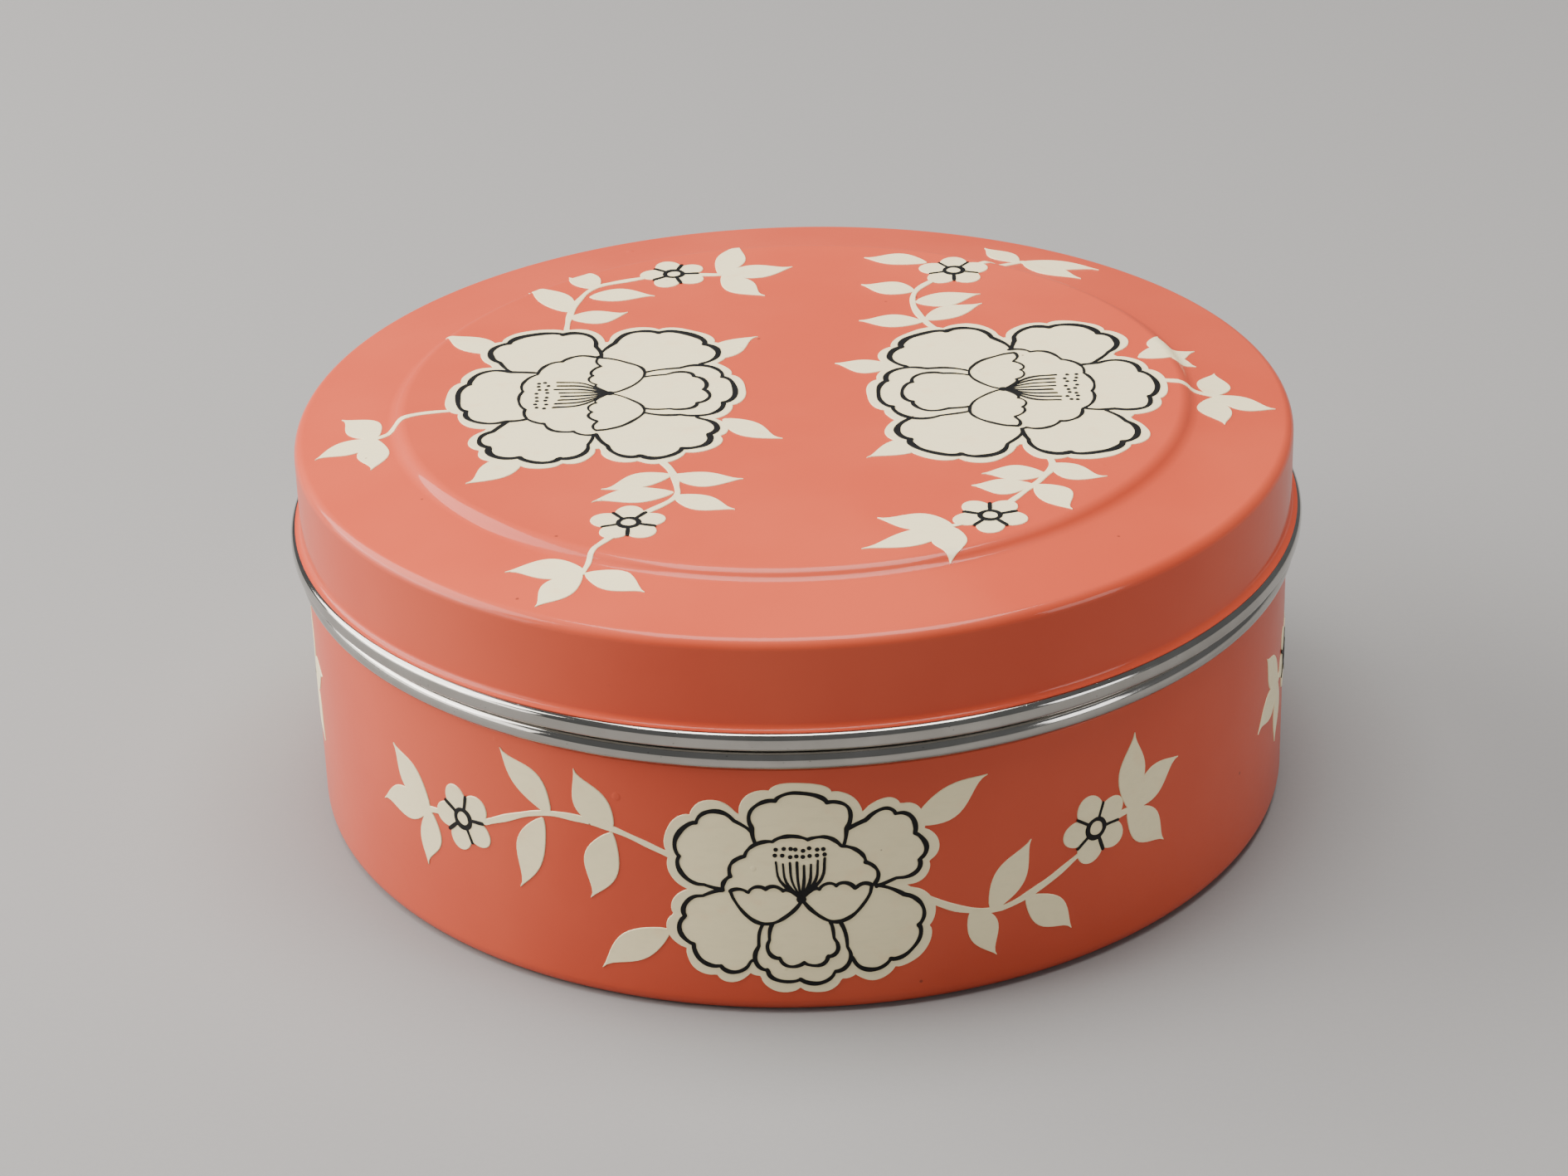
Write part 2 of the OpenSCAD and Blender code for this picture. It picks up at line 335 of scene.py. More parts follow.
def wrapped_tree():
    """Wraps flat brushwork round a wall, X running round it and Y up, and repeats it by turns."""
    tree, given = new_tree("Wrapped Brushwork", {
        "Brushwork": "Geometry", "Radius": "Float", "Turn": "Float", "Repeats": "Int",
        "Crease": "Float", "Finish": "Material"})
    plus, times, over, sine, cosine = sums(tree, "ADD", "MULTIPLY", "DIVIDE", "SINE", "COSINE")
    flat = add_node(tree, "ShaderNodeSeparateXYZ",
                    {0: add_node(tree, "GeometryNodeInputPosition").outputs[0]}).outputs
    out = plus(given["Radius"], flat["Z"])
    turn = plus(over(flat["X"], given["Radius"]), given["Turn"])
    place = joined_parts(tree, times(out, sine(turn)), times(out, times(cosine(turn), -1)), flat["Y"])
    wrapped = add_node(tree, "GeometryNodeSetPosition", {"Geometry": given["Brushwork"], "Position": place})
    middle = add_node(tree, "GeometryNodePoints", {"Count": given["Repeats"]})
    index = add_node(tree, "GeometryNodeInputIndex").outputs[0]
    heading = joined_parts(tree, z=times(index, over(TAU, given["Repeats"])))
    rotation = add_node(tree, "FunctionNodeEulerToRotation", {"Euler": heading})
    copies = add_node(tree, "GeometryNodeInstanceOnPoints", {
        "Points": middle.outputs[0], "Instance": wrapped.outputs[0], "Rotation": rotation.outputs[0]})
    real = add_node(tree, "GeometryNodeRealizeInstances", {"Geometry": copies.outputs[0]})
    return end_tree(tree, real.outputs[0], given)


def laid_tree():
    """Lays flat brushwork on the lid, over the two bends of its step and down the sloping margin."""
    tree, given = new_tree("Laid Brushwork", {
        "Brushwork": "Geometry", "Top": "Float", "Middle Radius": "Float", "Bend Radius": "Float",
        "Steepest": "Float", "Margin Slope": "Float", "Crease": "Float", "Finish": "Material"})
    plus, minus, times, over, least_of, most_of, sine, cosine = sums(
        tree, "ADD", "SUBTRACT", "MULTIPLY", "DIVIDE", "MINIMUM", "MAXIMUM", "SINE", "COSINE")
    bend, slope = given["Bend Radius"], given["Margin Slope"]
    place = add_node(tree, "GeometryNodeInputPosition").outputs[0]
    thick = add_node(tree, "ShaderNodeSeparateXYZ", {0: place}).outputs["Z"]
    level, reach = reach_of(tree, place)
    # Distance past the start of the step, and distance left to the middle of the lower bend
    gone = minus(reach, given["Middle Radius"])
    half = times(bend, sine(given["Steepest"]))
    left = minus(times(half, 2), gone)
    flat_run = times(bend, sine(slope))
    on_upper = least_of(most_of(gone, 0), half)
    on_lower = least_of(most_of(left, flat_run), half)
    past = calculate(tree, "GREATER_THAN", gone, half)
    along = add_node(tree, "ShaderNodeMix", {"Factor": past, "A": on_upper, "B": on_lower}).outputs[0]
    lean = calculate(tree, "ARCSINE", over(along, bend))
    deep = times(bend, cosine(lean))
    # Below the middle of the step: the lower bend, then the straight fall of the margin
    drop = minus(times(times(bend, cosine(given["Steepest"])), 2), plus(bend, deep))
    slide = times(most_of(minus(flat_run, left), 0), calculate(tree, "TANGENT", slope))
    fall = add_node(tree, "ShaderNodeMix", {
        "Factor": past, "A": minus(deep, bend), "B": minus(drop, slide)}).outputs[0]
    height = plus(plus(given["Top"], fall), times(thick, cosine(lean)))
    outward = add_node(tree, "ShaderNodeVectorMath", {
        0: vectors(tree, "NORMALIZE", level), "Scale": plus(reach, times(thick, sine(lean)))},
        operation="SCALE").outputs[0]
    moved = vectors(tree, "ADD", outward, joined_parts(tree, z=height))
    laid = add_node(tree, "GeometryNodeSetPosition", {"Geometry": given["Brushwork"], "Position": moved})
    return end_tree(tree, laid.outputs[0], given)


def grown(name, mesh, tree, values):
    """Runs a geometry tree on a mesh, and returns the result as an object with a plain mesh."""
    source = bpy.data.objects.new(name + "_source", mesh)
    bpy.context.scene.collection.objects.link(source)
    modifier = source.modifiers.new(tree.name, "NODES")
    modifier.node_group = tree
    sockets = {item.name: item.identifier for item in tree.interface.items_tree if item.in_out == "INPUT"}
    for label, value in values.items():
        modifier[sockets[label]] = value
    depsgraph = bpy.context.evaluated_depsgraph_get()
    result = bpy.data.meshes.new_from_object(
        source.evaluated_get(depsgraph), preserve_all_data_layers=True, depsgraph=depsgraph)
    bpy.data.objects.remove(source)
    result.name = name
    result.materials.clear()
    result.materials.append(values["Finish"])
    result.polygons.foreach_set("material_index", [0] * len(result.polygons))
    piece = bpy.data.objects.new(name, result)
    bpy.context.scene.collection.objects.link(piece)
    if not result.polygons:
        raise RuntimeError(f"{name} has no faces")
    return piece


def settle(piece, body, node):
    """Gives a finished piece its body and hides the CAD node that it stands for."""
    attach(piece, body)
    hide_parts(node)


def turned(name, outline, material):
    """A turned sheet-metal or enamel shape."""
    size = bpy.context.scene.box_sheet
    mesh = bpy.data.meshes.new(name)
    points = [(radius, 0, height) for radius, height in outline]
    mesh.from_pydata(points, [(k, k + 1) for k in range(len(points) - 1)], [])
    return grown(name, mesh, bpy.data.node_groups.get("Turned Sheet") or turned_tree(), {
        "Segments": size.segments, "Crease": SHEET_CREASE, "Finish": material})


# ---- Flat brush shapes, in millimetres ----

def toward(angle, length=1.0):
    """A vector of that length in that direction."""
    return Vector((math.cos(angle), math.sin(angle))) * length


def smooth_path(points, spacing):
    """A smooth line through the points, sampled about every spacing."""
    points = [Vector(p) for p in points]
    ends = [points[0] * 2 - points[1], *points, points[-1] * 2 - points[-2]]
    path = []
    for before, a, b, after in zip(ends, ends[1:], ends[2:], ends[3:]):
        steps = max(2, round((b - a).length / spacing))
        for k in range(steps):
            t = k / steps
            path.append(0.5 * (2 * a + (b - before) * t + (2 * before - 5 * a + 4 * b - after) * t ** 2
                               + (3 * a - before - 3 * b + after) * t ** 3))
    return path + [points[-1]]


def unsteady(points, dice, amount):
    """The points moved a little by a slow, smooth wander, as a hand moves a brush."""
    phases = [dice.uniform(0, TAU) for _ in range(4)]
    return [p + amount * Vector((
        math.sin(p.y * 0.55 + phases[0]) + 0.5 * math.sin(p.x * 1.3 + phases[1]),
        math.sin(p.x * 0.6 + phases[2]) + 0.5 * math.sin(p.y * 1.2 + phases[3]))) for p in points]


def round_mark(centre, radius, sides=12):
    """A round dab of paint."""
    return [centre + toward(TAU * k / sides, radius) for k in range(sides)]


def stroke(path, width, dice, ends=0.7, swell=lambda place: 1):
    """A brush stroke as a chain of four-sided marks with round ends.

    ends is the share of the width there, and swell gives the share of the width at any place."""
    if len(path) < 2:
        return []
    phase, last = dice.uniform(0, TAU), len(path) - 1
    left, right, halves = [], [], []
    for k, p in enumerate(path):
        way = (path[min(k + 1, last)] - path[max(k - 1, 0)]).normalized()
        side = Vector((-way.y, way.x))
        press = min(1.0, ends + (1 - ends) * min(k, last - k) / 5)
        waver = 1 + 0.16 * math.sin(k * 0.31 + phase) + 0.07 * math.sin(k * 0.83 - phase)
        half = width / 2 * press * swell(p) * waver
        left.append(p + side * half)
        right.append(p - side * half)
        halves.append(half)
    marks = [[right[k], right[k + 1], left[k + 1], left[k]] for k in range(last)]
    return marks + [round_mark(path[0], halves[0]), round_mark(path[-1], halves[-1])]


def drawn(path, width, dice, swell, sharp=math.radians(38)):
    """A line drawn along the path, lifted and set down again at each sharp corner."""
    marks, run = [], [path[0]]
    for k in range(1, len(path)):
        run.append(path[k])
        if k < len(path) - 1 and (path[k] - path[k - 1]).angle(path[k + 1] - path[k], 0) > sharp:
            marks += stroke(run, width, dice, 0.95, swell)
            run = [path[k]]
    return marks + stroke(run, width, dice, 0.9, swell)


def leaf(base, tip, width, dice):
    """A pointed leaf, pinched at its stem and bent a little sideways at its tip."""
    base, tip = Vector(base), Vector(tip)
    run = tip - base
    side = Vector((-run.y, run.x)).normalized()
    width = min(width, run.length * 0.52) * dice.uniform(0.92, 1.1)
    bow, hook, belly = dice.uniform(-0.7, 0.7), dice.uniform(-1.3, 1.3), dice.uniform(0.80, 0.96)
    share, steps = dice.uniform(0.44, 0.56), 14
    left, right = [], []
    for k in range(steps + 1):
        t = k / steps
        half = width * math.sin(math.pi * t ** belly) ** (0.9 + 0.7 * t) + 0.35 * (1 - t) ** 2 + 0.1
        middle = base + run * t + side * math.sin(math.pi * t) * (bow + 2 * hook * t ** 3)
        left.append(middle + side * half * share)
        right.append(middle - side * half * (1 - share))
    return right + left[::-1]


def petal(centre, direction, along, across, lobes=3):
    """A broad petal, narrower at its foot, with a lobed far edge."""
    turned_by, outline = Matrix.Rotation(direction, 2), []
    for k in range(120):
        turn = TAU * (k / 120 - 0.5)
        ahead, aside = math.cos(turn), math.sin(turn)
        share = min(1, max(0, turn / math.radians(164) + 0.5))
        reach = 0.90 + 0.13 * abs(math.sin(lobes * math.pi * share)) ** 0.6
        x = along * math.copysign(abs(ahead) ** 0.88, ahead) * reach
        y = across * math.copysign(abs(aside) ** 0.88, aside) * reach * (0.91 + 0.09 * ahead)
        outline.append(centre + turned_by @ Vector((x, y)))
    return outline


# Each outer petal: place of its middle, direction in degrees, length and width from its middle.
BACK_PETALS = [
    ((0.00, 0.53), 90, 0.37, 0.46),
    ((0.62, 0.32), 20, 0.40, 0.40), ((-0.62, 0.32), 160, 0.40, 0.40),
    ((0.58, -0.36), -35, 0.42, 0.43), ((-0.58, -0.36), 215, 0.42, 0.43)]
LOW_PETAL = ((0.00, -0.50), -90, 0.40, 0.45)
INNER_PETAL = ((0.00, -0.43), -90, 0.31, 0.33)
HEART = Vector((0, -0.09))


def front_lobe(side, lift):
    """One of the two petals folded over the front of the cup, from the heart outwards."""
    steps, upper, lower = 40, [], []
    for k in range(steps + 1):
        t = k / steps
        level = lift * t
        frill = 0.03 * abs(math.sin(4 * math.pi * t)) ** 0.7 * min(1, 4 * t)
        rise = 0.08 * math.sin(math.pi * min(1, 1.3 * t)) ** 0.8
        upper.append(HEART + Vector((side * 0.58 * t, level + rise + frill)))
        lower.append(HEART + Vector((side * 0.58 * t, level - 0.27 * math.sin(math.pi * t ** 1.2) ** 0.62)))
    return upper + lower[::-1][1:-1]


def cup_edge(steps=160):
    """The frilled upper edge of the flower's cup, from right to left."""
    edge = []
    for k in range(steps + 1):
        turn = math.radians(-4 + 188 * k / steps)
        frill = 1 + 0.07 * abs(math.sin(6.5 * turn)) ** 0.8
        edge.append(Vector((0.60 * math.cos(turn), 0.02 + 0.46 * math.sin(turn))) * frill)
    return edge


def inside(point, outline):
    """Whether the point lies inside the closed outline."""
    odd, before = False, outline[-1]
    for corner in outline:
        if (corner.y > point.y) != (before.y > point.y):
            crossing = (before.x - corner.x) * (point.y - corner.y) / (before.y - corner.y) + corner.x
            odd ^= point.x < crossing
        before = corner
    return odd


def shown_runs(path, fronts):
    """The stretches of the path that no shape in front of it hides."""
    runs, run = [], []
    for point in path:
        if any(inside(point, front) for front in fronts):
            if len(run) > 2:
                runs.append(run)
            run = []
        else:
            run.append(point)
    return runs + ([run] if len(run) > 2 else [])


def large_flower(centre, up, half_width, press, paint, dice):
    """Cream ground and black lines of a large flower: two lists of flat marks.

    press holds the share of a line's width at the heart, and how much it gains by the rim of the flower."""
    turned_by = Matrix.Rotation(math.radians(up - 90), 2)
    centre, width = Vector(centre), paint.line_w / MM

    def on_sheet(p):
        return turned_by @ (p * half_width) + centre

    def placed(points):
        return unsteady([on_sheet(p) for p in points], dice, 0.13)

    def varied(place, direction, along, across):
        lean, grow = dice.uniform(-4, 4), dice.uniform(0.97, 1.04)
        return Vector(place), math.radians(direction + lean), along, across * grow, dice.choice((3, 3, 4))

    def swell(place):
        return press[0] + press[1] * ((place - centre).length / half_width) ** 2

    tip = dice.uniform(-0.04, 0.04)
    lobes = [front_lobe(-1, 0.08 + tip), front_lobe(1, 0.08 - tip)]
    back = [varied(*row) for row in BACK_PETALS]
    low, inner = varied(*LOW_PETAL), varied(*INNER_PETAL)
    # Front to back: the shape that hides what is behind it, and the line that is drawn
    shapes = [placed(lobe) for lobe in lobes]
    layers = [(shape, shape + shape[:1]) for shape in shapes]
    edge = placed(cup_edge())
    layers.append((edge + [on_sheet(HEART + Vector((0, -0.12)))], edge))
    for row in (inner, low, *back):
        shape = placed(petal(*row))
        layers.append((shape, shape + shape[:1]))
    lines, fronts = [], []
    for shape, line in layers:
        for run in shown_runs(line, fronts):
            lines += drawn(run, width, dice, swell)
        fronts.append(shape)
    lines += stamens(on_sheet, width, dice)
    margin = paint.ground / MM / half_width
    ground = [placed(petal(place, way, along + margin, across + margin, lobed))
              for place, way, along, across, lobed in (low, *back)]
    ground.append(placed(round_mark(Vector((0, 0)), 0.85, 64)))
    return ground, lines


def stamens(on_sheet, width, dice):
    """The fan of fine lines from the heart of a large flower, with two rows of dots over it."""
    marks = []
    for k in range(8):
        fan = (k - 3.5) / 3.5
        tall = 0.33 + 0.04 * abs(fan) + dice.uniform(-0.02, 0.02)
        bulge, tip = Vector((0.17 * fan, 0.5 * tall)), Vector((0.20 * fan, tall))
        path = smooth_path([on_sheet(p) for p in (HEART, HEART + bulge, HEART + tip)], 0.9)
        marks += stroke(path, width * 0.6, dice, 0.8)
        for row in (0.07, 0.13):
            stray = Vector((dice.uniform(-0.012, 0.012), dice.uniform(-0.012, 0.012)))
            dab = HEART + Vector((0.20 * fan, 0.34 + row + 0.01 * abs(fan))) + stray
            marks.append(round_mark(on_sheet(dab), width * 0.46, 8))
    return marks + [round_mark(on_sheet(HEART), width * 0.95)]


def blossom(centre, radius, paint, dice):
    """Cream petals and black lines of a small flower: two lists of flat marks."""
    centre, width, start = Vector(centre), paint.line_w / MM, dice.uniform(0, TAU)
    petals, lines = [round_mark(centre, radius * 0.45, 24)], []
    for k in range(5):
        way = start + TAU * k / 5
        long, wide = radius * dice.uniform(0.42, 0.47), radius * dice.uniform(0.36, 0.41)
        middle = centre + toward(way, radius * 0.55)
        ahead, side = toward(way), toward(way + math.pi / 2)
        petals.append([middle + ahead * long * math.cos(a) + side * wide * math.sin(a)
                       for a in (TAU * j / 32 for j in range(32))])
        between = way + math.pi / 5
        path = [centre + toward(between, radius * share) for share in (0.27, 0.37, 0.48, 0.59, 0.70)]
        lines += stroke(path, width * 0.85, dice, 0.8)
    ring = [centre + toward(TAU * k / 28, radius * 0.26) for k in range(29)]
    return petals, lines + stroke(ring, width, dice, 1.0)


# ---- Brush layout, in millimetres: on the wall, X runs round it to the right and Y is the height ----

WALL_FLOWERS = [((1.5, 24.5), 90)]
WALL_BLOSSOMS = [(-61, 27.5), (54.5, 26)]
WALL_STEMS = [
    [(-20, 30), (-29.5, 33.5), (-37, 34.5), (-45, 33.5), (-56, 28.5)],
    [(20.5, 22), (28.5, 17.5), (36, 16), (44, 18.5), (51, 22)],
    [(-63, 27.5), (-70.5, 26)],
    [(57, 26.5), (62.5, 27)]]
WALL_LEAVES = [
    ((-42, 34), (-51.5, 44.5)), ((-30.5, 33.5), (-37, 44)), ((-43.5, 33), (-49, 18)),
    ((-30.5, 33), (-35, 19.5)), ((-21, 15.5), (-33.5, 6)), ((20.5, 35.5), (33.5, 42.5)),
    ((-69.5, 26.5), (-79, 35.5)), ((-70, 26), (-83.5, 22.5)), ((-69.5, 26), (-71, 14.5)),
    ((34, 16), (41.5, 28)), ((30.5, 17), (35, 7)), ((40.5, 17), (49.5, 8)),
    ((62, 27), (63, 41.5)), ((62, 27), (74, 32.5)), ((61.5, 27), (70.5, 17.5))]
LID_FLOWERS = [((-35.5, 1.5), 180), ((40.5, -2), 0)]
LID_BLOSSOMS = [(-22, 57), (-28.5, -52), (32, 54.5), (32.5, -53.5)]
LID_STEMS = [
    [(-42, 26.5), (-41.5, 38), (-40, 45.5), (-36.5, 52), (-27, 56)],
    [(-23, 57), (-12.5, 56)],
    [(-59.5, -3.5), (-66.5, -4.5), (-70.5, -6.5), (-72.5, -9.5), (-75.5, -11)],
    [(-26.5, -23), (-22, -30.5), (-20.5, -38), (-21, -43), (-26.5, -49)],
    [(-29.5, -54.5), (-34, -61), (-35, -63.5), (-36, -66.5)],
    [(29.5, 22.5), (25.5, 30), (23.5, 38.5), (24.5, 45.5), (29, 51.5)],
    [(34, 55.5), (46, 63.5)],
    [(65, 0.5), (70.5, -1), (76, -3.5)],
    [(42, -24), (44.5, -33.5), (42.5, -39), (40, -43), (34, -51.5)],
    [(31, -54.5), (26, -57)]]
LID_LEAVES = [
    ((-54, 21), (-64.5, 31)), ((-47.5, -24), (-57, -34.5)), ((-16.5, 15.5), (-6, 25.5)),
    ((-12.5, -11), (-2, -20)), ((-41.5, 40), (-50, 54)), ((-37, 51), (-42.5, 61.5)),
    ((-41.5, 37), (-30.5, 39)), ((-38, 47), (-25.5, 46.5)), ((-13, 56), (-9, 71.5)),
    ((-12.5, 56), (1, 59)), ((-12.5, 56), (-4.5, 45)), ((-74.5, -10.5), (-81.5, -0.5)),
    ((-74.5, -11), (-85, -16)), ((-74.5, -11), (-74.5, -23)), ((-21.5, -33.5), (-33.5, -38.5)),
    ((-21, -40.5), (-35, -43.5)), ((-21.5, -34), (-9, -36)), ((-21, -42), (-10.5, -48)),
    ((-35.5, -66), (-49, -64)), ((-36, -66.5), (-43.5, -75.5)), ((-35.5, -66.5), (-25.5, -73.5)),
    ((19, 10), (8, 12)), ((24.5, -21.5), (12.5, -29)), ((63.5, 10.5), (74.5, 17)),
    ((68.5, 13), (68, 20.5)), ((68.5, 13), (74, 9.5)),
    ((25, 30), (13, 31.5)), ((24, 45), (14, 49)), ((27, 59), (15, 62.5)),
    ((24, 39.5), (36.5, 42.5)), ((25.5, 31), (36.5, 38)), ((45, 63), (39, 72)),
    ((45.5, 63), (60.5, 60)), ((46, 62.5), (56.5, 54)), ((75.5, -3.5), (77, 7)),
    ((75.5, -3.5), (86.5, -7)), ((75.5, -4), (76.5, -15)), ((44, -34), (53.5, -39.5)),
    ((41, -42), (46.5, -52)), ((43, -38), (32, -37)), ((40.5, -42), (30, -41.5)),
    ((26, -57), (13.5, -53)), ((26, -57), (10.5, -64.5)), ((26, -57.5), (25, -68))]


def brushwork(flowers, half_width, press, blossoms, stems, leaves, seed):
    """All the cream marks and all the black marks of one layout."""
    paint, dice = bpy.context.scene.box_paint, random.Random(seed)
    cream, black = [], []
    for centre, up in flowers:
        ground, lines = large_flower(centre, up, half_width, press, paint, dice)
        cream += ground
        black += lines
    for centre in blossoms:
        petals, lines = blossom(centre, paint.blossom_r / MM * dice.uniform(0.95, 1.03), paint, dice)
        cream += petals
        black += lines
    for points in stems:
        cream += stroke(smooth_path(points, 0.9), paint.stem_w / MM, dice, 0.85)
    for base, tip in leaves:
        cream.append(leaf(base, tip, paint.leaf_w / MM, dice))
    return cream, black


def wall_brushwork():
    """The marks of one spray on the wall."""
    paint = bpy.context.scene.box_paint
    return brushwork(WALL_FLOWERS, paint.wall_flower / MM, (0.74, 0.12),
                     WALL_BLOSSOMS, WALL_STEMS, WALL_LEAVES, 7)


def lid_brushwork():
    """The marks on the lid."""
    paint = bpy.context.scene.box_paint
    return brushwork(LID_FLOWERS, paint.lid_flower / MM, (0.50, 0.68),
                     LID_BLOSSOMS, LID_STEMS, LID_LEAVES, 11)


# ---- Films of paint ----

def filling(marks, spacing, clear):
    """Points on a staggered grid over the marks, none of them close to an outline."""
    corners = [p for mark in marks for p in mark]
    tree = KDTree(len(corners))
    for k, p in enumerate(corners):
        tree.insert((p.x, p.y, 0), k)
    tree.balance()
    points, row = [], 0
    y = min(p.y for p in corners)
    while y < max(p.y for p in corners):
        x = min(p.x for p in corners) + (spacing / 2 if row % 2 else 0)
        while x < max(p.x for p in corners):
            near = tree.find((x, y, 0))[2]
            if clear < near < 12:
                points.append(Vector((x, y)))
            x += spacing
        y, row = y + spacing * 0.866, row + 1
    return points


def joined(marks, rings=(), spots=()):
    """Joins overlapping marks into one flat sheet: its points and its triangles."""
    points, faces, edges = [], [], []
    for mark in marks:
        faces.append(list(range(len(points), len(points) + len(mark))))
        points += mark
    for ring in rings:
        first = len(points)
        edges += [(first + k, first + (k + 1) % len(ring)) for k in range(len(ring))]
        points += ring
    points += spots
    found, _, triangles, _, _, owners = delaunay_2d_cdt(points, edges, faces, 1, 1e-4, True)
    kept = [tri for tri, owner in zip(triangles, owners) if owner]
    used = sorted({k for tri in kept for k in tri})
    rank = {k: n for n, k in enumerate(used)}
    flat = [found[k] for k in used]
    turned_up = []
    for a, b, c in ([rank[k] for k in tri] for tri in kept):
        turned_up.append((a, b, c) if (flat[b] - flat[a]).cross(flat[c] - flat[a]) > 0 else (a, c, b))
    return flat, turned_up


def drawn_in(flat, triangles, outward, inset):
    """The points with the outline drawn in by inset, or by less where that would turn a triangle over."""
    amount = {k: inset for k in outward}
    for _ in range(9):
        moved = [p - outward[k] * amount[k] if k in outward else p for k, p in enumerate(flat)]
        spoilt = set()
        for a, b, c in triangles:
            before = (flat[b] - flat[a]).cross(flat[c] - flat[a])
            if (moved[b] - moved[a]).cross(moved[c] - moved[a]) < 0.12 * before:
                spoilt.update((a, b, c))
        spoilt &= outward.keys()
        if not spoilt:
            break
        for k in spoilt:
            amount[k] *= 0.5
    return amount


def film(name, marks, low, thickness, inset, rings=(), spots=()):
    """A closed film of paint over the marks, with rounded edges, from height low up by thickness."""
    flat, triangles = joined(marks, rings, spots)
    sides = {}
    for tri in triangles:
        for a, b in zip(tri, tri[1:] + tri[:1]):
            sides[a, b] = True
    border = [(a, b) for a, b in sides if (b, a) not in sides]
    outward = {}
    for a, b in border:
        run = flat[b] - flat[a]
        out = Vector((run.y, -run.x)).normalized()
        for k in (a, b):
            outward[k] = outward.get(k, Vector((0, 0))) + out
    outward = {k: v.normalized() for k, v in outward.items()}
    amount = drawn_in(flat, triangles, outward, inset)
    # Heights and shares of the inset, from the foot of the rounded edge to its top
    levels = [(0, 0), (0.62, 0.25), (1, 1)]
    verts, at = [], {}
    for level, (high, share) in enumerate(levels):
        for k, p in enumerate(flat):
            if level == 1 and k not in outward:
                continue
            q = p - outward[k] * amount[k] * share if k in outward else p
            sink = 0.12 if level == 2 and k not in outward else 0
            at[level, k] = len(verts)
            verts.append((q.x * MM, q.y * MM, low + thickness * (high - sink)))
    top = len(levels) - 1
    faces = [[at[top, k] for k in tri] for tri in triangles]
    faces += [[at[0, k] for k in reversed(tri)] for tri in triangles]
    for a, b in border:
        for level in range(top):
            faces.append([at[level, a], at[level, b], at[level + 1, b], at[level + 1, a]])
    mesh = bpy.data.meshes.new(name)
    mesh.from_pydata(verts, [], faces)
    return mesh


def step_rings(size):
    """Circles that paint follows down the step of the lid, in millimetres."""
    bend, steepest, least = size.step_bend, size.step_angle, size.margin_slope
    inner = [size.plateau_r + bend * math.sin(steepest * k / 6) for k in range(7)]
    leans = [least + (steepest - least) * k / 5 for k in range(5)]
    outer = [lid_bends(size)[1][0] - bend * math.sin(lean) for lean in leans]
    return [[toward(TAU * k / 160, r / MM) for k in range(160)] for r in inner + outer[::-1]]


def wrapped(name, mesh, material):
    """Flat brushwork wrapped round the wall and repeated."""
    paint = bpy.context.scene.box_paint
    return grown(name, mesh, bpy.data.node_groups.get("Wrapped Brushwork") or wrapped_tree(), {
        "Radius": WALL_R, "Turn": paint.spray_turn, "Repeats": paint.sprays,
        "Crease": FILM_CREASE, "Finish": material})


def laid(name, mesh, material):
    """Flat brushwork laid on the lid."""
    size = bpy.context.scene.box_sheet
    return grown(name, mesh, bpy.data.node_groups.get("Laid Brushwork") or laid_tree(), {
        "Top": LID_TOP, "Middle Radius": size.plateau_r, "Bend Radius": size.step_bend,
        "Steepest": size.step_angle, "Margin Slope": size.margin_slope,
        "Crease": FILM_CREASE, "Finish": material})


# ---- Finishes ----

def new_finish(name):
    """A material with its tree, its shader and its object coordinates."""
    material = bpy.data.materials.new(name)
    material.use_nodes = True
    tree = material.node_tree
    shader = tree.nodes["Principled BSDF"]
    place = add_node(tree, "ShaderNodeTexCoord").outputs["Object"]
    return material, tree, shader, place


def noise(tree, place, scale, detail=2.0, roughness=0.5):
    """A noise texture's value."""
    return add_node(tree, "ShaderNodeTexNoise", {
        "Vector": place, "Scale": scale, "Detail": detail, "Roughness": roughness}).outputs[0]


def ramp(tree, value, low, high, out_low, out_high):
    """The value carried smoothly from one range to another."""
    return add_node(tree, "ShaderNodeMapRange", {
        "Value": value, "From Min": low, "From Max": high, "To Min": out_low, "To Max": out_high},
        interpolation_type="SMOOTHSTEP").outputs[0]


def mixed(tree, share, first, second):
    """Two colours mixed."""
    made = add_node(tree, "ShaderNodeMix", {"Factor": share, 6: first, 7: second}, data_type="RGBA")
    return made.outputs[2]


def bump(tree, height, distance, strength=1.0, normal=None):
    """A bump's normal."""
    inputs = {"Height": height, "Distance": distance, "Strength": strength}
    if normal is not None:
        inputs["Normal"] = normal
    return add_node(tree, "ShaderNodeBump", inputs).outputs[0]


def specks(tree, place, scale, radius, share):
    """Sparse round specks: 1 in a speck and 0 elsewhere. share is how many cells of the pattern have one."""
    cells = add_node(tree, "ShaderNodeTexVoronoi", {"Vector": place, "Scale": scale}).outputs
    pick = add_node(tree, "ShaderNodeSeparateColor", {0: cells["Color"]}).outputs[0]
    chosen = calculate(tree, "LESS_THAN", pick, share)
    return calculate(tree, "MULTIPLY", chosen, ramp(tree, cells["Distance"], radius * 0.4, radius, 1, 0))


def tinted(colour, factor):
    """A colour made lighter or darker, part by part."""
    return tuple(min(1.0, c * f) for c, f in zip(colour[:3], factor)) + (1,)


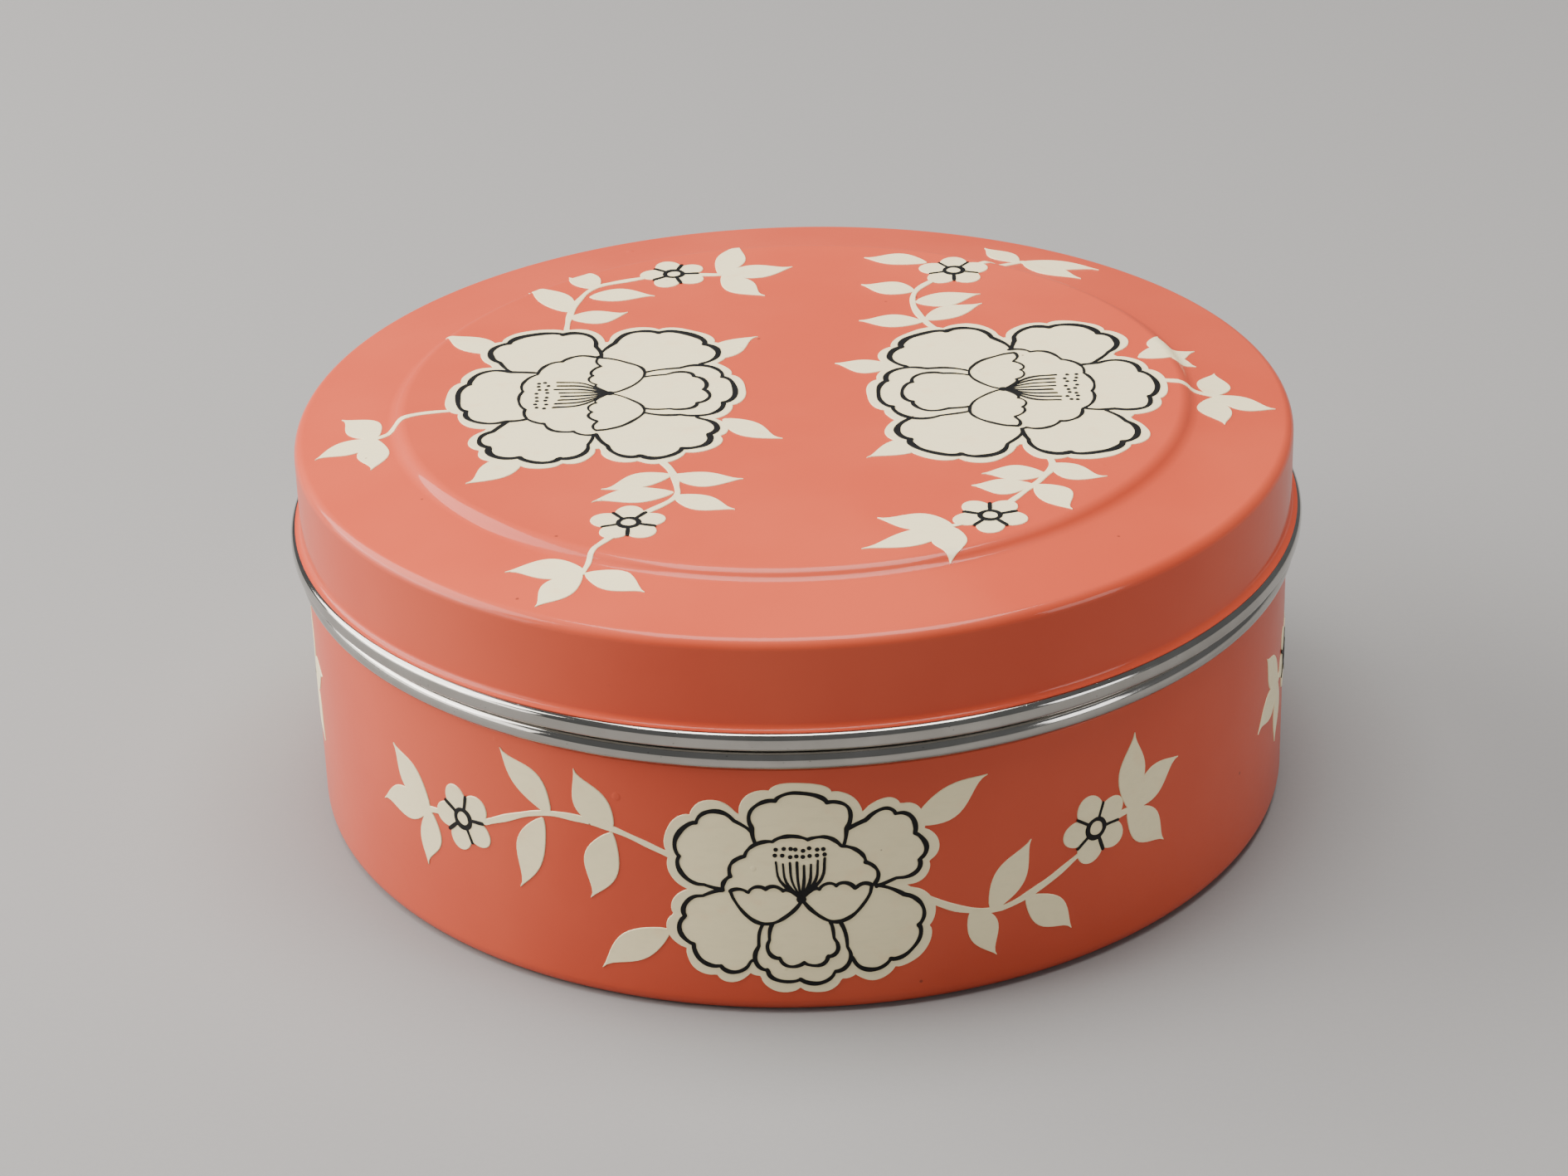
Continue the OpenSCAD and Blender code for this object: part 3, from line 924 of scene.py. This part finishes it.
def coral_enamel(name):
    """Glossy sprayed enamel with orange peel, dust nibs and a few dark specks."""
    paint = bpy.context.scene.box_paint
    material, tree, shader, place = new_finish(name)
    deep = tinted(paint.coral, (0.93, 0.84, 0.82))
    base = mixed(tree, ramp(tree, noise(tree, place, 22, 3), 0.35, 0.68, 0, 1), deep, paint.coral)
    dark = calculate(tree, "MULTIPLY", specks(tree, place, 170, 0.075, 0.16), 0.75)
    scuff = calculate(tree, "MULTIPLY", specks(tree, place, 60, 0.05, 0.12), 0.6)
    soiled = mixed(tree, dark, base, (0.17, 0.035, 0.02, 1))
    peel = bump(tree, noise(tree, place, 420, 2), 0.00006, 0.5)
    sway = bump(tree, noise(tree, place, 55, 1), 0.00035, 0.35, peel)
    fill(tree, shader, {
        "Base Color": mixed(tree, scuff, soiled, (0.30, 0.05, 0.03, 1)),
        "Coat Roughness": ramp(tree, noise(tree, place, 130, 4), 0.3, 0.7, 0.06, 0.13),
        "Normal": bump(tree, specks(tree, place, 95, 0.09, 0.07), 0.0001, 0.8, sway),
        "Roughness": 0.5, "Specular IOR Level": 0.12, "Coat Weight": 0.4, "Coat IOR": 1.5})
    return material


def bare_steel(name):
    """Spun and polished stainless steel with turning marks and fine pits."""
    paint = bpy.context.scene.box_paint
    material, tree, shader, place = new_finish(name)
    plus, times = sums(tree, "ADD", "MULTIPLY")
    reach = reach_of(tree, place)[1]
    parts = add_node(tree, "ShaderNodeSeparateXYZ", {0: place}).outputs
    around = times(plus(parts["X"], parts["Y"]), 28)
    lathe = joined_parts(tree, times(reach, 3600), times(parts["Z"], 3600), around)
    marks = noise(tree, lathe, 1, 3, 0.6)
    cloud = noise(tree, place, 90, 4, 0.6)
    pits = specks(tree, place, 1400, 0.22, 0.10)
    dull = tinted(paint.steel, (0.86, 0.86, 0.85))
    base = mixed(tree, ramp(tree, cloud, 0.35, 0.7, 0, 1), dull, paint.steel)
    turned_marks = bump(tree, marks, 0.00002, 0.5)
    fill(tree, shader, {
        "Base Color": mixed(tree, times(pits, 0.6), base, (0.08, 0.07, 0.065, 1)),
        "Roughness": plus(ramp(tree, marks, 0.3, 0.7, 0.04, 0.10), ramp(tree, cloud, 0.3, 0.7, 0, 0.06)),
        "Normal": bump(tree, pits, -0.00002, 0.5, turned_marks),
        "Metallic": 1.0})
    return material


def cream_paint(name):
    """Brushed cream paint with faint streaks, a few nibs and the coral just showing through."""
    paint = bpy.context.scene.box_paint
    material, tree, shader, place = new_finish(name)
    streaky = add_node(tree, "ShaderNodeMapping", {"Vector": place, "Scale": (300, 900, 900)}).outputs[0]
    streaks = noise(tree, streaky, 1, 3, 0.55)
    thin = tinted(paint.cream, (0.99, 0.90, 0.86))
    base = mixed(tree, ramp(tree, noise(tree, place, 240, 3), 0.52, 0.8, 0, 0.75), paint.cream, thin)
    shade = mixed(tree, ramp(tree, streaks, 0.4, 0.75, 0, 0.3), base, tinted(paint.cream, (0.88, 0.88, 0.86)))
    brushed = bump(tree, streaks, 0.00005, 0.45)
    fill(tree, shader, {
        "Base Color": mixed(tree, specks(tree, place, 330, 0.1, 0.03), shade, (0.25, 0.16, 0.10, 1)),
        "Roughness": ramp(tree, streaks, 0.3, 0.7, 0.34, 0.48),
        "Normal": bump(tree, specks(tree, place, 210, 0.13, 0.10), 0.00009, 0.8, brushed),
        "Coat Weight": 0.12, "Coat Roughness": 0.2})
    return material


def black_paint(name):
    """Black brush lines, satin, a little thin in places."""
    paint = bpy.context.scene.box_paint
    material, tree, shader, place = new_finish(name)
    worn = ramp(tree, noise(tree, place, 700, 3), 0.6, 0.85, 0, 0.6)
    fill(tree, shader, {
        "Base Color": mixed(tree, worn, paint.black, (0.022, 0.020, 0.018, 1)),
        "Roughness": ramp(tree, noise(tree, place, 500, 2), 0.3, 0.7, 0.40, 0.55),
        "Normal": bump(tree, noise(tree, place, 900, 2), 0.00004, 0.4),
        "Specular IOR Level": 0.2})
    return material


def pale_floor(name):
    """Plain pale floor with a faint even tooth."""
    stage = bpy.context.scene.box_stage
    material, tree, shader, place = new_finish(name)
    lighter = tinted(stage.floor, (1.05, 1.05, 1.05))
    fill(tree, shader, {
        "Base Color": mixed(tree, noise(tree, place, 900, 2), stage.floor, lighter),
        "Roughness": 0.75, "Specular IOR Level": 0.25})
    return material


def finish(maker, name):
    """The named material, made the first time that it is asked for."""
    return bpy.data.materials.get(name) or maker(name)


# ---- Operators ----

class BOX_OT_steel_cup(bpy.types.Operator):
    """Make the steel cup with its corner, bead, neck and rolled mouth"""
    bl_idname = "painted_box.steel_cup"
    bl_label = "Steel Cup"

    def execute(self, context):
        size = context.scene.box_sheet
        piece = turned("steel_cup", cup_outline(size), finish(bare_steel, "spun_steel"))
        settle(piece, "box", "body_cup")
        return {"FINISHED"}


class BOX_OT_steel_lid(bpy.types.Operator):
    """Make the steel lid with its step, shoulder, skirt and curled rim"""
    bl_idname = "painted_box.steel_lid"
    bl_label = "Steel Lid"

    def execute(self, context):
        size = context.scene.box_sheet
        piece = turned("steel_lid", pan_outline(size), finish(bare_steel, "spun_steel"))
        settle(piece, "lid", "lid_pan")
        return {"FINISHED"}


class BOX_OT_enamel(bpy.types.Operator):
    """Make the coral enamel on the wall and on the lid"""
    bl_idname = "painted_box.enamel"
    bl_label = "Enamel"

    def execute(self, context):
        size = context.scene.box_sheet
        coral = finish(coral_enamel, "coral_gloss")
        settle(turned("wall_enamel", wall_coat_outline(size), coral), "box", "body_enamel")
        settle(turned("lid_enamel_coat", lid_coat_outline(size), coral), "lid", "lid_enamel")
        return {"FINISHED"}


class BOX_OT_wall_flowers(bpy.types.Operator):
    """Paint the cream flowers and their black lines round the wall"""
    bl_idname = "painted_box.wall_flowers"
    bl_label = "Wall Flowers"

    def execute(self, context):
        inset = context.scene.box_paint.edge_r / MM
        cream, black = wall_brushwork()
        ground = film("wall_cream", cream, 0, CREAM, inset, spots=filling(cream, 2.0, 0.7))
        lines = film("wall_lines", black, CREAM, INK, inset * 0.75)
        settle(wrapped("wall_flowers", ground, finish(cream_paint, "cream_brushed")),
               "box", "body_flowers")
        settle(wrapped("wall_linework", lines, finish(black_paint, "black_brushed")),
               "box", "body_linework")
        return {"FINISHED"}


class BOX_OT_lid_flowers(bpy.types.Operator):
    """Paint the cream flowers and their black lines on the lid"""
    bl_idname = "painted_box.lid_flowers"
    bl_label = "Lid Flowers"

    def execute(self, context):
        scene = context.scene
        inset = scene.box_paint.edge_r / MM
        cream, black = lid_brushwork()
        ground = film("lid_cream", cream, 0, CREAM, inset, step_rings(scene.box_sheet),
                      filling(cream, 2.6, 0.8))
        lines = film("lid_lines", black, CREAM, INK, inset * 0.75)
        settle(laid("lid_flower_paint", ground, finish(cream_paint, "cream_brushed")),
               "lid", "lid_flowers")
        settle(laid("lid_line_paint", lines, finish(black_paint, "black_brushed")),
               "lid", "lid_linework")
        return {"FINISHED"}


# Each soft light: name, place, width and height, power and colour
SOFTBOXES = [
    ("key_left", (-1.12, 0.20, 0.78), (1.4, 1.0), 36, (1.0, 0.97, 0.94)),
    ("low_left", (-1.25, -0.05, 0.30), (1.5, 0.5), 9, (1.0, 0.97, 0.94)),
    ("top", (0.0, 0.05, 1.45), (1.1, 0.9), 33, (1.0, 0.98, 0.96)),
    ("fill_right", (1.3, -0.7, 0.40), (0.5, 0.6), 4.5, (0.98, 0.98, 1.0))]


def softbox(name, place, size, power, tone, aim):
    """A large rectangular soft light that faces a point."""
    light = bpy.data.lights.new(name, "AREA")
    light.shape, light.size, light.size_y = "RECTANGLE", size[0], size[1]
    light.energy, light.color = power, tone
    lamp = bpy.data.objects.new(name, light)
    lamp.location = place
    lamp.rotation_mode = "QUATERNION"
    lamp.rotation_quaternion = (Vector(aim) - Vector(place)).to_track_quat("-Z", "Y")
    lamp.visible_camera = False
    bpy.context.scene.collection.objects.link(lamp)


class BOX_OT_stage(bpy.types.Operator):
    """Set the floor, the soft lights and the camera"""
    bl_idname = "painted_box.stage"
    bl_label = "Stage"

    def execute(self, context):
        stage, scene = context.scene.box_stage, context.scene
        mesh = bpy.data.meshes.new("floor")
        reach = 4.0
        mesh.from_pydata([toward(TAU * k / 64, reach).to_3d() for k in range(64)], [], [list(range(64))])
        floor = bpy.data.objects.new("floor", mesh)
        mesh.materials.append(finish(pale_floor, "pale_floor"))
        scene.collection.objects.link(floor)
        middle = (0, 0, LID_TOP / 2)
        for light in SOFTBOXES:
            softbox(*light, middle)
        world = bpy.data.worlds.new("sky")
        world.use_nodes = True
        scene.world = world
        sky = world.node_tree.nodes["Background"].inputs
        sky["Color"].default_value = (0.95, 0.97, 1.0, 1)
        sky["Strength"].default_value = stage.sky
        lens = bpy.data.cameras.new("camera")
        lens.lens, lens.sensor_width = stage.lens, 36
        camera = bpy.data.objects.new("camera", lens)
        upright = Matrix.Rotation(math.pi / 2 - stage.camera_tilt, 4, "X")
        camera.matrix_world = (Matrix.Translation(stage.camera_place) @ upright
                               @ Matrix.Rotation(stage.camera_roll, 4, "Z"))
        scene.collection.objects.link(camera)
        scene.camera = camera
        return {"FINISHED"}


class BOX_PT_panel(bpy.types.Panel):
    """The steps that make the box, in order"""
    bl_label = "Painted Box"
    bl_idname = "BOX_PT_panel"
    bl_space_type = "VIEW_3D"
    bl_region_type = "UI"
    bl_category = "Painted Box"

    def draw(self, context):
        for group in (context.scene.box_sheet, context.scene.box_paint, context.scene.box_stage):
            column = self.layout.column()
            for name in group.__annotations__:
                column.prop(group, name)
        for step in STEPS:
            self.layout.operator(step.bl_idname)


STEPS = (BOX_OT_stage, BOX_OT_steel_cup, BOX_OT_steel_lid, BOX_OT_enamel,
         BOX_OT_wall_flowers, BOX_OT_lid_flowers)
GROUPS = {"box_sheet": SheetSettings, "box_paint": PaintSettings, "box_stage": StageSettings}


def register():
    for kind in (*GROUPS.values(), *STEPS, BOX_PT_panel):
        bpy.utils.register_class(kind)
    for name, kind in GROUPS.items():
        setattr(bpy.types.Scene, name, PointerProperty(type=kind))


def unregister():
    for name in GROUPS:
        delattr(bpy.types.Scene, name)
    for kind in reversed((*GROUPS.values(), *STEPS, BOX_PT_panel)):
        bpy.utils.unregister_class(kind)


def main():
    register()
    for step in STEPS:
        group, name = step.bl_idname.split(".")
        getattr(getattr(bpy.ops, group), name)()


if __name__ == "__main__":
    main()
